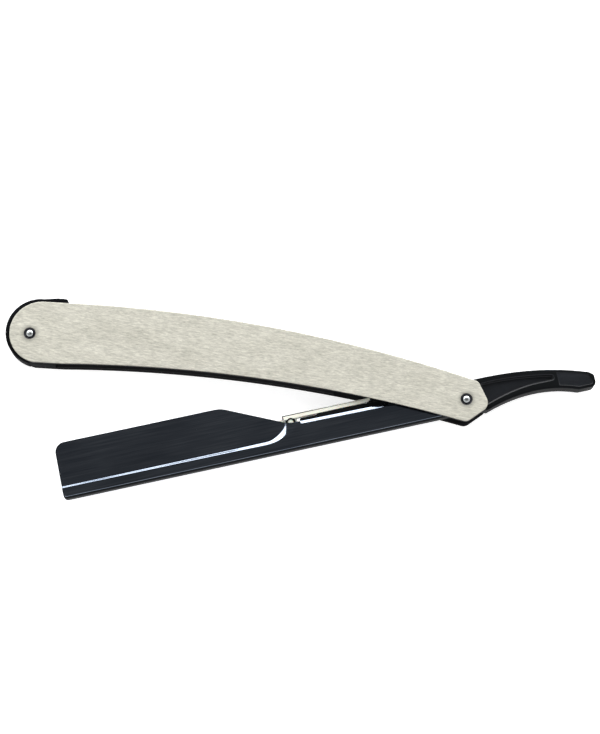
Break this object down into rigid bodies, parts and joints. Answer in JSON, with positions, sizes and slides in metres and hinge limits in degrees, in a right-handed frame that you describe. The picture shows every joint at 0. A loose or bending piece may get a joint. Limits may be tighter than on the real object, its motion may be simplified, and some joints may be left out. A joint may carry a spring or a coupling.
{
  "type": "straight razor",
  "caption": "Replaceable-blade straight razor lying open: curved steel scales, folded steel blade holder with plastic insert and half blade, moulded tang with pocketed tail.",
  "frame": {"origin": "on the pivot rivet's axis, at the rear scale's flat outer face", "axes": "+X along the line through the two rivets, from the round end to the pivot end; +Z square to the scales, towards the domed rivet heads; +Y towards the handle's back"},
  "size_m": [0.1759, 0.0612, 0.0075],
  "materials": {
    "scale_steel": "brushed lengthwise, satin",
    "liner_plastic": "matt black",
    "spacer_plastic": "satin black",
    "rivet_steel": "polished dome",
    "cup_washer_steel": "darkened",
    "bushing_steel": "turned",
    "washer_nylon": "natural nylon",
    "holder_steel": "polished, fine lengthwise lines",
    "tang_plastic": "semi gloss black",
    "insert_plastic": "ivory, smooth",
    "blade_steel": "ground"
  },
  "bodies": {
    "handle": {"front_scale": "scale_steel", "rear_scale": "scale_steel", "front_liner": "liner_plastic", "rear_liner": "liner_plastic", "wedge_spacer": "spacer_plastic", "wedge_rivet": "rivet_steel", "wedge_cup_washer": "cup_washer_steel", "pivot_rivet": "rivet_steel", "pivot_cup_washer": "cup_washer_steel"},
    "blade_arm": {"blade_holder": "holder_steel", "tang": "tang_plastic", "pivot_bushing": "bushing_steel", "front_thrust_washer": "washer_nylon", "rear_thrust_washer": "washer_nylon"},
    "insert": {"blade_carrier": "insert_plastic"},
    "blade": {"half_blade": "blade_steel"}
  },
  "joints": [
    {"name": "pivot", "type": "hinge", "parent": "handle", "child": "blade_arm", "pos_m": [0, 0, 0.0036], "axis": [0, 0, 1], "range_deg": [-19.5, 250]},
    {"name": "insert_slide", "type": "slide", "parent": "blade_arm", "child": "insert", "axis": [-0.3633, 0.9317, 0], "range_m": [0, 0.014]},
    {"name": "blade_slide", "type": "slide", "parent": "insert", "child": "blade", "axis": [-0.3633, 0.9317, 0], "range_m": [0, 0.009]}
  ]
}
